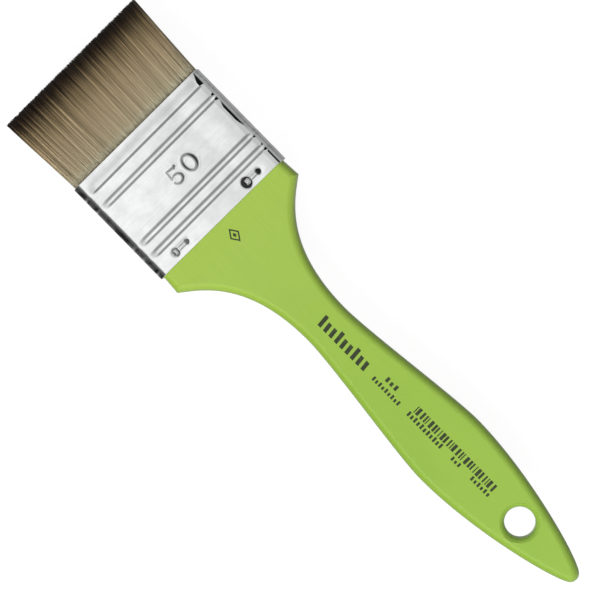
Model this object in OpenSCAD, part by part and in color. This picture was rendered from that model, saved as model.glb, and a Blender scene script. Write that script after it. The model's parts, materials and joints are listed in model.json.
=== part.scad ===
/* [Handle] */
// Length of the handle that shows, from the ferrule to the rounded end
handle_len = 145.7; // [120:0.1:180]
// Distance from the ferrule to the narrowest place of the neck
neck_at = 42.5; // [35:0.5:50]
// Distance from the ferrule to the widest place of the grip
belly_at = 93; // [80:0.5:105]
// Width of the neck
neck_w = 14.2; // [12:0.1:20]
// Width of the widest place of the grip
belly_w = 23.9; // [18:0.1:28]
// Thickness of the handle along the grip
grip_t = 7; // [6.4:0.1:8]
// Thickness of the handle where it leaves the ferrule
root_t = 8.3; // [7:0.1:8.4]
// Radius of the rounded end, seen from the front
nose_r = 2.55; // [2.5:0.05:4]
// Radius of the hanging hole
hang_r = 4.5; // [3:0.1:5]
// Distance of the hanging hole's centre from the handle's end
hang_from_end = 23.4; // [18:0.1:28]

/* [Ferrule] */
// Width of the ferrule, which is also the nominal size of the brush
ferrule_w = 50; // [40:1:60]
// Length of the ferrule
ferrule_len = 36; // [32:0.5:40]
// Outside thickness of the ferrule
ferrule_t = 9.5; // [9:0.1:11]
// Thickness of the tinplate
sheet = 0.4; // [0.3:0.05:0.5]
// Radius of the ferrule's long corners
corner_r = 3.2; // [2.5:0.1:4]
// Half the width of a pressed groove
groove_half_w = 0.8; // [0.5:0.05:0.9]
// Depth of a pressed groove
groove_depth = 0.45; // [0.2:0.05:0.5]

/* [Nails] */
// Radius of the nail wire
wire_r = 0.7; // [0.5:0.05:0.8]
// Distance of the nails from the ferrule's handle end
nail_inset = 2.6; // [2.2:0.1:3.2]
// Length of wire that lies bent over on the front
clinch_len = 5; // [4:0.1:6]

/* [Bristles] */
// Length of the bristles outside the ferrule
bristle_out = 27.4; // [20:0.1:40]
// Width of the tuft at its tips
tip_w = 52.3; // [50:0.1:56]
// Thickness of the tuft where it leaves the ferrule
tuft_t = 8; // [7:0.1:8]
// Thickness of the tuft at its tips
tip_t = 5; // [3:0.1:7]
// Distance of the bending axis outside the ferrule's mouth
flex_out = 1; // [0.8:0.1:2]

/* [Hidden] */
$fn = 48;

// The origin is the centre of the ferrule's flat back. +Y runs towards the bristle tips, +Z out of the front.
mid_z = ferrule_t / 2;
mouth_y = ferrule_len / 2;
heel_y = -ferrule_len / 2;
// Gap between pieces that are glued or pressed together on the real brush
gap = 0.05;
// Overshoot of cutting shapes
cut = 1;

// Inset from the ferrule's outside to the faces of the pieces it holds
fill_inset = sheet + gap;

// Groove centres along the ferrule: one by the mouth, one above the middle panel, two towards the handle
groove_ys = [mouth_y - 3.15, mouth_y - 9.1, mouth_y - 24.45, mouth_y - 29.1];

// Lap seam on the front: width of the raised layer, its height and how far it reaches over the corner
lap_w = 3.6;
lap_step = 0.25;
lap_over = 0.8;

// Handle tongue inside the ferrule, and the epoxy behind the bristles
tongue_len = 14;
tongue_top_y = heel_y + tongue_len;
epoxy_y = [tongue_top_y + 0.5, mouth_y - 16];

// Handle outline, right half
root_half_w = ferrule_w / 2 - 0.9;
shoulder_half_w = ferrule_w / 2 - 0.5;
shoulder_len = 6;
shoulder_r = 0.6;
flare_angle = 52.7;
nose_angle = 39;
// Pulls of the outline's Bezier curves; the neck and the belly have one above and one below
flare_pull = 6.8;
neck_pull = [25, 10];
belly_pull = [9, 21];
nose_pull = 4.4;
// Rounding of the handle's long edges: inset seen from the front, and height seen from the side
edge_in = 2.4;
edge_up = 2.9;
// Rounded rim of the hanging hole
rim_r = 0.85;

// Nails: shank places across the ferrule and the pressed pockets around them
nail_y = heel_y + nail_inset;
nail_xs = [-16.4, 12.3];
pocket_half_w = 1.3;
pocket_over = 0.4;
pocket_depth = 0.6;
head_r = 1.4;
head_t = 0.45;
head_pocket_r = 1.8;
bend_r = 1.2;
clinch_end_len = 2.5;
// The bent wire rests on the pocket's floor
clinch_z = ferrule_t - pocket_depth + wire_r + gap;

// Bristles
tip_y = mouth_y + bristle_out;
flex_y = mouth_y + flex_out;
nose_half_w = ferrule_w / 2 - sheet - 1.6;
ear_y = flex_y + 1.3;
tip_corner = 1.6;
// The held ends stop short of the mouth, so that the tuft's faces clear them when it bends
roots_top_y = mouth_y - 1.1;

// Point on a cubic Bezier curve, and its direction of travel
function bez(a, b, c, d, t) =
    pow(1 - t, 3) * a + 3 * pow(1 - t, 2) * t * b + 3 * (1 - t) * t * t * c + pow(t, 3) * d;
function bez_dir(a, b, c, d, t) =
    pow(1 - t, 2) * (b - a) + 2 * (1 - t) * t * (c - b) + t * t * (d - c);
// Outline point with its outward normal, from a place and the direction of travel down the right side
function edge_point(p, v) = [p, [-v.y, v.x] / norm(v)];
function bez_run(a, b, c, d, steps) =
    [for (i = [1:steps]) edge_point(bez(a, b, c, d, i / steps), bez_dir(a, b, c, d, i / steps))];
function arc_run(centre, r, from, to, steps) =
    [for (i = [0:steps])
        let (a = from + (to - from) * i / steps)
        edge_point(centre + r * [cos(a), sin(a)], [sin(a), -cos(a)])];

// Right half of the handle's outline, from inside the ferrule to the rounded end
shoulder_centre = [
    shoulder_half_w - shoulder_r,
    heel_y - shoulder_len + shoulder_r * tan(flare_angle / 2)
];
flare_start = shoulder_centre + shoulder_r * [cos(flare_angle), -sin(flare_angle)];
neck = [neck_w / 2, heel_y - neck_at];
belly = [belly_w / 2, heel_y - belly_at];
end_y = heel_y - handle_len;
nose_centre = [0, end_y + nose_r];
nose_start = nose_centre + nose_r * [cos(nose_angle), -sin(nose_angle)];
outline = concat(
    [edge_point([root_half_w, heel_y + 1], [0, -1]), edge_point([root_half_w, heel_y], [0, -1])],
    arc_run(shoulder_centre, shoulder_r, 0, -flare_angle, 3),
    bez_run(flare_start, flare_start - flare_pull * [sin(flare_angle), cos(flare_angle)],
        neck + [0, neck_pull[0]], neck, 16),
    bez_run(neck, neck - [0, neck_pull[1]], belly + [0, belly_pull[0]], belly, 10),
    bez_run(belly, belly - [0, belly_pull[1]],
        nose_start + nose_pull * [sin(nose_angle), cos(nose_angle)], nose_start, 14),
    arc_run(nose_centre, nose_r, -nose_angle - 7, -86, 6)
);

// Handle thickness eases from the ferrule to the grip
function ease(t) = t * t * (3 - 2 * t);
function thick_at(y) = root_t + (grip_t - root_t) * ease(min(1, max(0, (heel_y - y) / neck_at)));

// One closed cross loop of the handle at an outline point, from the lower right edge round to the lower left
edge_steps = 12;
function edge_half(q, side) =
    [for (k = [0:edge_steps])
        let (a = -90 + 180 * k / edge_steps, p = q[0] - q[1] * edge_in * (1 - cos(a)))
        [side * p.x, p.y, mid_z + sign(a) * (thick_at(q[0].y) / 2 - edge_up) + edge_up * sin(a)]];
function cross_loop(q) =
    let (right = edge_half(q, 1), left = edge_half(q, -1))
    concat(right, [for (k = [edge_steps:-1:0]) left[k]]);

// Skin through a row of loops that all have the same number of points
module skin(loops) {
    n = len(loops[0]);
    rows = len(loops);
    points = [for (loop = loops) for (p = loop) p];
    sides = [for (i = [0:rows - 2]) for (k = [0:n - 1])
        let (a = i * n + k, b = i * n + (k + 1) % n)
        each [[a, a + n, b + n], [a, b + n, b]]];
    first = [for (k = [0:n - 1]) k];
    last = [for (k = [n - 1:-1:0]) (rows - 1) * n + k];
    polyhedron(points, concat(sides, [first, last]), convexity = 6);
}

// Flat bar with rounded long corners, lying along Y about the brush's centre plane
module bar(w, t, r, y0, y1) {
    translate([0, y1, mid_z])
        rotate([90, 0, 0])
            linear_extrude(y1 - y0) {
                square([w, t - 2 * r], center = true);
                square([w - 2 * r, t], center = true);
                for (sx = [-1, 1], sz = [-1, 1])
                    translate([sx * (w / 2 - r), sz * (t / 2 - r)])
                        circle(r);
            }
}

// Boxes that cut the pressed grooves into both flat faces of a bar with an inset all round
module groove_cuts(inset) {
    half = groove_half_w + inset;
    for (y = groove_ys, flip = [0, 1])
        translate([0, y, mid_z])
            mirror([0, 0, flip])
                translate([-ferrule_w / 2, -half, ferrule_t / 2 - inset - groove_depth])
                    cube([ferrule_w, 2 * half, groove_depth + inset + cut]);
}

// Bar the size of the ferrule's outside less an inset all round. Its grooves run out in the rounded corners.
module pressed_bar(inset, y0, y1) {
    difference() {
        bar(ferrule_w - 2 * inset, ferrule_t - 2 * inset, corner_r - inset, y0, y1);
        groove_cuts(inset);
    }
}

// Slot with round ends along X, from the front face down to the height z
module front_pocket(x, grow, z) {
    half_w = pocket_half_w + grow;
    x0 = x - pocket_over;
    x1 = x + clinch_len + pocket_over;
    for (end = [x0, x1])
        translate([end, nail_y, z])
            cylinder(h = ferrule_t + cut - z, r = half_w);
    translate([x0, nail_y - half_w, z])
        cube([x1 - x0, 2 * half_w, ferrule_t + cut - z]);
}

// Round pocket for a nail head, from the back face up to the height z
module back_pocket(x, grow, z) {
    translate([x, nail_y, -cut])
        cylinder(h = cut + z, r = head_pocket_r + grow);
}

// Holes for the shanks and the bent ends of both nails
module nail_holes(r) {
    for (x = nail_xs) {
        translate([x, nail_y, -cut])
            cylinder(h = ferrule_t + 2 * cut, r = r);
        translate([x + clinch_len, nail_y, clinch_z - bend_r - clinch_end_len - gap])
            cylinder(h = clinch_end_len + bend_r, r = r);
    }
}

module hanging_hole() {
    half_t = grip_t / 2;
    translate([0, end_y + hang_from_end, mid_z]) {
        cylinder(h = grip_t + 2 * cut, r = hang_r, center = true);
        for (flip = [0, 1])
            mirror([0, 0, flip])
                rotate_extrude()
                    difference() {
                        translate([hang_r - cut, half_t - rim_r])
                            square([rim_r + cut, rim_r + cut]);
                        translate([hang_r + rim_r, half_t - rim_r])
                            circle(rim_r);
                    }
    }
}

// Wooden handle: lacquered grip, wide shoulder and the bare tongue that fills the ferrule's lower half
module handle() {
    color("yellowgreen")
        difference() {
            union() {
                skin([for (q = outline) cross_loop(q)]);
                pressed_bar(fill_inset, heel_y, tongue_top_y);
            }
            hanging_hole();
            for (x = nail_xs) {
                front_pocket(x, fill_inset, ferrule_t - pocket_depth - fill_inset);
                back_pocket(x, fill_inset, head_t + 2 * gap + fill_inset);
            }
            nail_holes(wire_r + gap);
        }
}

// Tinplate ferrule: a thin rounded sleeve with pressed grooves, nail pockets and a lap seam
module ferrule() {
    color("gainsboro")
        difference() {
            union() {
                difference() {
                    pressed_bar(0, heel_y, mouth_y);
                    pressed_bar(sheet, heel_y - cut, mouth_y + cut);
                }
                lap_seam();
                intersection() {
                    bar(ferrule_w - sheet, ferrule_t - sheet, corner_r - sheet / 2, heel_y, mouth_y);
                    for (x = nail_xs) {
                        front_pocket(x, sheet, ferrule_t - pocket_depth - sheet);
                        back_pocket(x, sheet, head_t + 2 * gap + sheet);
                    }
                }
            }
            for (x = nail_xs) {
                front_pocket(x, 0, ferrule_t - pocket_depth);
                back_pocket(x, 0, head_t + 2 * gap);
            }
            nail_holes(wire_r + 4 * gap);
        }
}

// Upper layer of the sheet where its ends overlap, on the front beside the right corner
module lap_seam() {
    difference() {
        translate([ferrule_w / 2 - corner_r + lap_over - lap_w, heel_y, ferrule_t - sheet / 2])
            cube([lap_w, ferrule_len, sheet / 2 + lap_step]);
        groove_cuts(0);
    }
}

// One quarter bend of the nail wire, from upright at the origin to level along +X
module wire_bend() {
    translate([bend_r, 0, 0])
        rotate([90, 0, 180])
            rotate_extrude(angle = 90)
                translate([bend_r, 0])
                    circle(wire_r);
}

// Nail driven from the back, bent over to the right on the front, its point driven back into the wood
module nail(x) {
    bend_z = clinch_z - bend_r;
    translate([x, nail_y, 0]) {
        translate([0, 0, gap])
            cylinder(h = head_t, r = head_r);
        translate([0, 0, gap])
            cylinder(h = bend_z - gap, r = wire_r);
        translate([0, 0, bend_z])
            wire_bend();
        translate([bend_r, 0, clinch_z])
            rotate([0, 90, 0])
                cylinder(h = clinch_len - 2 * bend_r, r = wire_r);
        translate([clinch_len, 0, bend_z]) {
            mirror([1, 0, 0])
                wire_bend();
            translate([0, 0, -clinch_end_len])
                cylinder(h = clinch_end_len, r = wire_r);
        }
    }
}

// Two clinched wire nails that fasten the ferrule to the handle
module ferrule_nails() {
    color("darkgray")
        for (x = nail_xs)
            nail(x);
}

// Hardened epoxy that binds the bristle ends inside the ferrule
module epoxy_set() {
    color("burlywood")
        pressed_bar(fill_inset, epoxy_y[0], epoxy_y[1]);
}

// The bristles' lower ends, held fast in the ferrule, hollowed round the bending axis at the mouth
module bristle_roots() {
    color("rosybrown")
        difference() {
            pressed_bar(fill_inset, epoxy_y[1] + gap, roots_top_y);
            translate([-nose_half_w - gap, flex_y, mid_z])
                rotate([0, 90, 0])
                    cylinder(h = 2 * (nose_half_w + gap), r = tuft_t / 2 + gap);
        }
}

// Side view of the free tuft: round at the bending axis, then a long taper to the blunt tips
module tuft_side() {
    circle(tuft_t / 2);
    polygon([
        [0, -tuft_t / 2], [tip_y - flex_y, -tip_t / 2],
        [tip_y - flex_y, tip_t / 2], [0, tuft_t / 2]
    ]);
}

// Front view of the free tuft: narrow inside the mouth, then flaring to the tips
module tuft_front() {
    tip_half = tip_w / 2;
    mouth_half = ferrule_w / 2 - 0.2;
    base_y = flex_y - tuft_t / 2 - cut;
    polygon([
        [-nose_half_w, base_y], [nose_half_w, base_y],
        [nose_half_w, ear_y], [mouth_half, ear_y],
        [tip_half, tip_y - tip_corner], [tip_half - tip_corner / 2, tip_y],
        [-tip_half + tip_corner / 2, tip_y], [-tip_half, tip_y - tip_corner],
        [-mouth_half, ear_y], [-nose_half_w, ear_y]
    ]);
}

// The free length of the bristles, which bends as one on its axis across the mouth
module bristle_tuft() {
    color("dimgray")
        intersection() {
            linear_extrude(ferrule_t)
                tuft_front();
            translate([-tip_w / 2 - cut, flex_y, mid_z])
                rotate([90, 0, 90])
                    linear_extrude(tip_w + 2 * cut)
                        tuft_side();
        }
}

handle();
ferrule();
ferrule_nails();
epoxy_set();
bristle_roots();
bristle_tuft();
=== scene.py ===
import json
import math

import bmesh
import bpy
import numpy as np
from mathutils import Matrix, Vector


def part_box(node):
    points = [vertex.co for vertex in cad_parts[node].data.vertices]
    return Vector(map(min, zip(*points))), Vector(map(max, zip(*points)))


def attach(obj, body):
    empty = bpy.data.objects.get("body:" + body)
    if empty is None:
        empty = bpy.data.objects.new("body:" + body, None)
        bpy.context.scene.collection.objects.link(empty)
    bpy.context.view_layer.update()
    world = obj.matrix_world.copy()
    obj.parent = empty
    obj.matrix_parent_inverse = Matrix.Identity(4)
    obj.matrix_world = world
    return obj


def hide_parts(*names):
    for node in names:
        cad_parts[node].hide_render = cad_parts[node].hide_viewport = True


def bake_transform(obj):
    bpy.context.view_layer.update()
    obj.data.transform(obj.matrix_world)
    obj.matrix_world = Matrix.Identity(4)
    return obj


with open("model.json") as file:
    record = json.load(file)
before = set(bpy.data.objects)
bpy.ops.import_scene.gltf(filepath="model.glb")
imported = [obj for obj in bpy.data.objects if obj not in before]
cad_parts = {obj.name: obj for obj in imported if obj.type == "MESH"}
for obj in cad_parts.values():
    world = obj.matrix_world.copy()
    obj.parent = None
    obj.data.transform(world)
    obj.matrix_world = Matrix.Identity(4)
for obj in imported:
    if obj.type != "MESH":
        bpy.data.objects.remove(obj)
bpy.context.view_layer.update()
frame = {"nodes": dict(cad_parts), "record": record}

# Everything below is worked out in millimetres and scaled once, when a mesh is made
MM = 0.001


# ---------------------------------------------------------------- places that the CAD model sets

def box_mm(node):
    low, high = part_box(node)
    return np.array(low) / MM, np.array(high) / MM


def mount(name):
    return next(m for m in frame["record"]["mounts"] if m["name"] == name)


ferrule_low, ferrule_high = box_mm("ferrule")
handle_low, _ = box_mm("handle")
_, tuft_high = box_mm("bristle_tuft")
HALF_W = -ferrule_low[0]
HALF_T = (ferrule_high[2] - ferrule_low[2]) / 2
MID_Z = ferrule_low[2] + HALF_T
HEEL_Y = ferrule_low[1]
MOUTH_Y = ferrule_high[1]
END_Y = handle_low[1]
TIP_Y = tuft_high[1]
TIP_HALF_W = tuft_high[0]
HOLE_Y = mount("hang_hole")["pos_m"][1] / MM
HOLE_R = mount("hang_hole")["dims"]["r_mm"]

# Sizes that the CAD source gives the handle, the ferrule and the nails
ROOT_T = 8.3
GRIP_T = 7.0
EDGE_IN = 2.4
EDGE_UP = 2.9
NECK = np.array([7.1, HEEL_Y - 42.5])
BELLY = np.array([11.95, HEEL_Y - 93])
CORNER_R = 3.2
SHEET = 0.4
NAIL_Y = HEEL_Y + 2.6
NAIL_XS = (-16.4, 12.3)
NAIL_RUN = 5.0
# The visual model's own: width of the hanging hole's rim, and height of the wire's centre above the sheet's flat
RIM_R = 1.35
WIRE_LIFT = 0.14


# ---------------------------------------------------------------- helpers

def smooth(low, high, value):
    """0 below low, 1 above high, and an even S-curve between them."""
    t = np.clip((np.asarray(value, float) - low) / (high - low), 0, 1)
    return t * t * (3 - 2 * t)


def make_piece(name, points_mm, faces, material, body="brush"):
    """A smooth-shaded mesh object that rides on a body, from points in millimetres."""
    mesh = bpy.data.meshes.new(name)
    mesh.from_pydata((np.asarray(points_mm) * MM).tolist(), [], faces)
    mesh.update()
    mesh.shade_smooth()
    piece = bpy.data.objects.new(name, mesh)
    bpy.context.collection.objects.link(piece)
    mesh.materials.append(material)
    if body:
        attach(piece, body)
    return piece


def grid_faces(rows, columns, wrap_rows=False, wrap_columns=False):
    """Quads between neighbouring points of a grid whose points are stored row by row."""
    faces = []
    for i in range(rows if wrap_rows else rows - 1):
        for k in range(columns if wrap_columns else columns - 1):
            a = i * columns + k
            b = i * columns + (k + 1) % columns
            c = (i + 1) % rows * columns + (k + 1) % columns
            d = (i + 1) % rows * columns + k
            faces.append((a, b, c, d))
    return faces


def fix_normals(mesh, join=False):
    """Turns every face outwards, after joining points that lie on one another if join is set."""
    work = bmesh.new()
    work.from_mesh(mesh)
    if join:
        bmesh.ops.remove_doubles(work, verts=work.verts, dist=1e-7)
    bmesh.ops.recalc_face_normals(work, faces=work.faces)
    work.to_mesh(mesh)
    work.free()


def apply_modifiers(piece):
    """Replaces a piece's mesh by the result of its modifiers."""
    graph = bpy.context.evaluated_depsgraph_get()
    result = bpy.data.meshes.new_from_object(piece.evaluated_get(graph))
    piece.modifiers.clear()
    piece.data = result


def point_attribute(mesh, name, values):
    layer = mesh.attributes.new(name, "FLOAT", "POINT")
    layer.data.foreach_set("value", np.asarray(values, np.float32).ravel())


def stations(low, high, zones, coarse):
    """Rising positions from low to high: coarse steps, and finer ones inside zones of (from, to, step)."""
    places = [low]
    while places[-1] < high - 1e-6:
        here = places[-1]
        inside = [step for a, b, step in zones if a - 1e-6 <= here < b - 1e-6]
        ahead = [a for a, b, step in zones if a > here + 1e-6]
        step = min(inside) if inside else coarse
        places.append(min([here + step, high] + ([] if inside else ahead)))
    return np.array(places)


# ---------------------------------------------------------------- material tools

def colour(red, green, blue):
    """Linear colour from display values of 0 to 255."""
    def linear(value):
        value /= 255
        return value / 12.92 if value <= 0.04045 else ((value + 0.055) / 1.055) ** 2.4
    return (linear(red), linear(green), linear(blue), 1)


class Nodes:
    """A node tree with short ways to add and join nodes."""

    def __init__(self, tree):
        self.tree = tree

    def add(self, kind, inputs=None, **settings):
        made = self.tree.nodes.new("ShaderNode" + kind)
        for key, value in settings.items():
            setattr(made, key, value)
        for key, value in (inputs or {}).items():
            self.join(made, key, value)
        return made

    def join(self, made, key, value):
        if isinstance(value, bpy.types.NodeSocket):
            self.tree.links.new(value, made.inputs[key])
        else:
            made.inputs[key].default_value = value

    def span(self, value, low, high, to_low=0.0, to_high=1.0):
        made = self.add("MapRange", {"Value": value, "From Min": low, "From Max": high,
                                     "To Min": to_low, "To Max": to_high})
        return made.outputs["Result"]

    def math(self, operation, a, b=0.0):
        made = self.add("Math", {0: a, 1: b}, operation=operation)
        return made.outputs["Value"]

    def mix(self, factor, a, b, blend="MIX"):
        made = self.add("Mix", {"Factor": factor}, data_type="RGBA", blend_type=blend)
        self.join(made, 6, a)
        self.join(made, 7, b)
        return made.outputs[2]

    def ramp(self, value, stops):
        made = self.add("ValToRGB", {"Fac": value})
        band = made.color_ramp
        while len(band.elements) < len(stops):
            band.elements.new(0.5)
        for element, (at, shade) in zip(band.elements, stops):
            element.position = at
            element.color = shade
        return made.outputs["Color"]


class Shader(Nodes):
    """The node tree of a new material."""

    def __init__(self, name):
        self.material = bpy.data.materials.new(name)
        self.material.use_nodes = True
        super().__init__(self.material.node_tree)
        self.surface = self.tree.nodes["Principled BSDF"]

    def set(self, **inputs):
        for key, value in inputs.items():
            self.join(self.surface, key.replace("_", " ").title().replace("Ior", "IOR"), value)

    def place(self, scale):
        """Object coordinates stretched by a number for each axis, in cycles per metre."""
        coords = self.add("TexCoord").outputs["Object"]
        return self.add("Mapping", {"Vector": coords, "Scale": scale}).outputs["Vector"]

    def noise(self, scale, detail=2.0, roughness=0.5):
        made = self.add("TexNoise", {"Vector": self.place(scale), "Scale": 1.0, "Detail": detail,
                                     "Roughness": roughness})
        return made.outputs["Fac"]

    def attribute(self, name):
        return self.add("Attribute", attribute_name=name).outputs["Fac"]

    def bump(self, height, distance_mm, strength=1.0, normal=None):
        made = self.add("Bump", {"Height": height, "Distance": distance_mm * MM, "Strength": strength})
        if normal:
            self.join(made, "Normal", normal)
        return made.outputs["Normal"]


# ---------------------------------------------------------------- materials

def lacquer():
    """Yellow-green lacquer over a fine straight-grained hardwood."""
    s = Shader("green_lacquer")
    along = s.add("SeparateXYZ", {0: s.add("TexCoord").outputs["Object"]}).outputs["Y"]
    share = s.span(along, END_Y * MM, HEEL_Y * MM)
    base = s.ramp(share, [
        (0.0, colour(149, 188, 66)),
        (0.5, colour(144, 184, 57)),
        (1.0, colour(163, 194, 69)),
    ])
    grain = s.noise((1400, 45, 1400), detail=4, roughness=0.6)
    pores = s.noise((5200, 260, 5200), detail=2)
    clouds = s.noise((70, 30, 70), detail=2)
    toned = s.mix(s.span(grain, 0.35, 0.7, 0.0, 0.28), base, colour(143, 180, 56))
    toned = s.mix(s.span(clouds, 0.3, 0.7, 0.0, 0.2), toned, colour(176, 207, 84))
    toned = s.mix(s.span(pores, 0.62, 0.74, 0.0, 0.25), toned, colour(122, 160, 50))
    height = s.math("ADD", s.math("MULTIPLY", grain, 0.6), s.math("MULTIPLY", pores, 0.4))
    peel = s.noise((900, 700, 900), detail=1)
    normal = s.bump(height, 0.02, 0.5, s.bump(peel, 0.015, 0.6))
    s.set(base_color=toned, roughness=s.span(clouds, 0.2, 0.8, 0.36, 0.5), normal=normal,
          coat_weight=0.25, coat_roughness=0.22, coat_normal=s.bump(peel, 0.01, 0.5),
          sheen_weight=0.45, sheen_roughness=0.35)
    return s.material


def tinplate():
    """Bright rolled tinplate: faint roll lines across the width, small scratches, painted shade in the stamped
    numeral, painted shadow in the hollows and the lap's gap, and a painted dark reflection on the rounded edges.
    """
    s = Shader("tinplate")
    lines = s.noise((35, 2600, 900), detail=3, roughness=0.6)
    mottle = s.noise((260, 300, 260), detail=3)
    scratches = s.noise((160, 7000, 160), detail=1)
    base = s.mix(s.span(mottle, 0.3, 0.7), colour(228, 229, 229), colour(242, 243, 243))
    base = s.mix(s.span(scratches, 0.66, 0.8, 0.0, 0.4), base, colour(176, 177, 177))
    # Painted shade, painted shadow and painted dark reflection, held in a mesh attribute, darken the metal
    painted_shade = s.attribute("painted_shade")
    base = s.mix(painted_shade, base, colour(28, 28, 30))
    rough = s.math("ADD", s.span(lines, 0.25, 0.75, 0.16, 0.27), s.math("MULTIPLY", painted_shade, 0.3))
    normal = s.bump(lines, 0.006, 0.45, s.bump(mottle, 0.02, 0.4))
    s.set(base_color=base, metallic=1.0, roughness=rough, normal=normal)
    return s.material


def nail_wire():
    """Dull drawn steel wire with draw lines, and painted shade in the dents, at the shank and at the point."""
    s = Shader("nail_wire")
    draw = s.noise((500, 3800, 3800), detail=2)
    dents = s.noise((1500, 1500, 1500), detail=2)
    base = s.mix(s.span(dents, 0.35, 0.7), colour(205, 205, 207), colour(240, 240, 241))
    # Painted shade from a mesh attribute darkens the dent, the point and the shank
    base = s.mix(s.attribute("painted_shade"), base, colour(26, 26, 28))
    s.set(base_color=base, metallic=1.0, roughness=s.span(draw, 0.3, 0.7, 0.2, 0.36),
          normal=s.bump(draw, 0.01, 0.6, s.bump(dents, 0.05, 0.5)))
    return s.material


def resin():
    """Hardened amber resin with fine bubbles."""
    s = Shader("resin")
    bubbles = s.add("TexVoronoi", {"Vector": s.place((900, 900, 900)), "Scale": 1.0}).outputs["Distance"]
    tone = s.noise((200, 200, 200), detail=3)
    s.set(base_color=s.mix(tone, colour(176, 128, 62), colour(214, 170, 98)), roughness=0.25,
          normal=s.bump(bubbles, 0.05, 0.5), transmission_weight=0.2)
    return s.material


def ink():
    """Dark screen-printed ink, a little uneven."""
    s = Shader("print_ink")
    patches = s.noise((1600, 1600, 1600), detail=3)
    s.set(base_color=s.mix(s.span(patches, 0.3, 0.8), colour(34, 40, 26), colour(66, 78, 44)),
          roughness=s.span(patches, 0.2, 0.8, 0.45, 0.65), normal=s.bump(patches, 0.01, 0.4))
    return s.material


def filament():
    """Fine synthetic filaments, beige at the ferrule and near black at the tips, each with its own tone; the edge
    strands and the core carry painted shade and painted light.
    """
    s = Shader("filament")
    along = s.attribute("along")
    shade = s.attribute("shade")
    streak = s.attribute("streak")
    # The dark tips begin sooner in some streaks than in others
    shifted = s.math("ADD", along, s.span(streak, 0.0, 1.0, 0.045, -0.045))
    base = s.ramp(shifted, [
        (0.0, colour(168, 161, 136)),
        (0.055, colour(197, 189, 162)),
        (0.11, colour(194, 180, 148)),
        (0.37, colour(187, 168, 134)),
        (0.51, colour(182, 162, 126)),
        (0.62, colour(169, 149, 113)),
        (0.73, colour(145, 125, 91)),
        (0.8, colour(107, 91, 63)),
        (0.87, colour(68, 51, 32)),
        (0.9, colour(53, 38, 22)),
        (0.96, colour(36, 26, 16)),
    ])
    # Darker and lighter copies of the colour: random tone for most strands, painted shade and painted light for the
    # side strands and the core
    dark = s.mix(1.0, base, colour(188, 182, 172), "MULTIPLY")
    light = s.mix(0.35, base, colour(226, 216, 196))
    unlike = s.span(along, 0.0, 0.6, 0.25, 1.0)
    toned = s.mix(s.math("MULTIPLY", s.span(shade, 0.0, 0.5, 1.0, 0.0), unlike), base, dark)
    toned = s.mix(s.span(shade, 0.5, 1.0, 0.0, 0.3), toned, light)
    # Clumps show as streaks, strongest where the colour turns dark
    strength = s.math("ADD", s.span(along, 0.0, 0.62, 0.0, 0.62), s.span(along, 0.62, 0.85, 0.0, 0.85))
    swing = s.math("MULTIPLY", s.math("SUBTRACT", streak, 0.5), strength)
    toned = s.mix(1.0, toned, s.math("ADD", swing, 1.0), "MULTIPLY")
    s.set(base_color=toned, roughness=0.42, specular_ior_level=0.35)
    return s.material


# ---------------------------------------------------------------- handle

def bezier(a, b, c, d, steps):
    """Points of a cubic curve after its first, each with its outward normal."""
    t = np.arange(1, steps + 1)[:, None] / steps
    points = (1 - t) ** 3 * a + 3 * (1 - t) ** 2 * t * b + 3 * (1 - t) * t * t * c + t ** 3 * d
    travel = (1 - t) ** 2 * (b - a) + 2 * (1 - t) * t * (c - b) + t * t * (d - c)
    travel /= np.linalg.norm(travel, axis=1)[:, None]
    return [(p, np.array([-v[1], v[0]])) for p, v in zip(points, travel)]


def arc(centre, radius, start, stop, steps):
    angles = np.radians(np.linspace(start, stop, steps + 1))
    rays = [np.array([math.cos(a), math.sin(a)]) for a in angles]
    return [(centre + radius * ray, ray) for ray in rays]


FLARE = math.radians(52.7)
SHOULDER_R = 0.6
SHOULDER = np.array([HALF_W - 0.5 - SHOULDER_R, HEEL_Y - 6 + SHOULDER_R * math.tan(FLARE / 2)])


def handle_outline():
    """Right half of the handle seen from the front, from the ferrule to the rounded end."""
    nose = math.radians(39)
    nose_r = 2.55
    down_flare = np.array([-math.sin(FLARE), -math.cos(FLARE)])
    flare_start = SHOULDER + SHOULDER_R * np.array([math.cos(FLARE), -math.sin(FLARE)])
    nose_centre = np.array([0, END_Y + nose_r])
    nose_start = nose_centre + nose_r * np.array([math.cos(nose), -math.sin(nose)])
    up_nose = np.array([math.sin(nose), math.cos(nose)])
    side = np.array([1.0, 0.0])
    straight = [(np.array([HALF_W - 0.9 + 0.066 * d, HEEL_Y - d]), side) for d in (-0.5, 0, 1, 2, 3, 4, 5)]
    return (
        straight
        + arc(SHOULDER, SHOULDER_R, 0, -math.degrees(FLARE), 6)
        + bezier(flare_start, flare_start + 6.8 * down_flare, NECK + [0, 25], NECK, 40)
        + bezier(NECK, NECK - [0, 10], BELLY + [0, 9], BELLY, 30)
        + bezier(BELLY, BELLY - [0, 21], nose_start + 4.4 * up_nose, nose_start, 40)
        + arc(nose_centre, nose_r, -math.degrees(nose) - 4, -90, 12)
    )


def handle_thickness(y):
    return ROOT_T + (GRIP_T - ROOT_T) * smooth(0, HEEL_Y - NECK[1], HEEL_Y - y)


def tongue_thickness(y):
    """The tongue inside the ferrule is slimmer than the lacquered wood outside it."""
    return np.full_like(y, ROOT_T - 0.9)


def mitred(place, outward, inset):
    """Points inwards from an outline place; past the middle line of the shoulder's corner they follow it."""
    points = place - outward * inset[:, None]
    middle = np.array([math.cos(FLARE / 2), -math.sin(FLARE / 2)])
    up_side = np.array([math.sin(FLARE / 2), math.cos(FLARE / 2)])
    ridge = SHOULDER - middle * ((inset - SHOULDER_R) / math.cos(FLARE / 2))[:, None]
    crossed = ((points - SHOULDER) @ up_side) * (outward @ up_side) < 1e-6
    near = abs(place[1] - SHOULDER[1]) < 4
    return np.where((crossed & (inset > SHOULDER_R) & near)[:, None], ridge, points)


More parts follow.
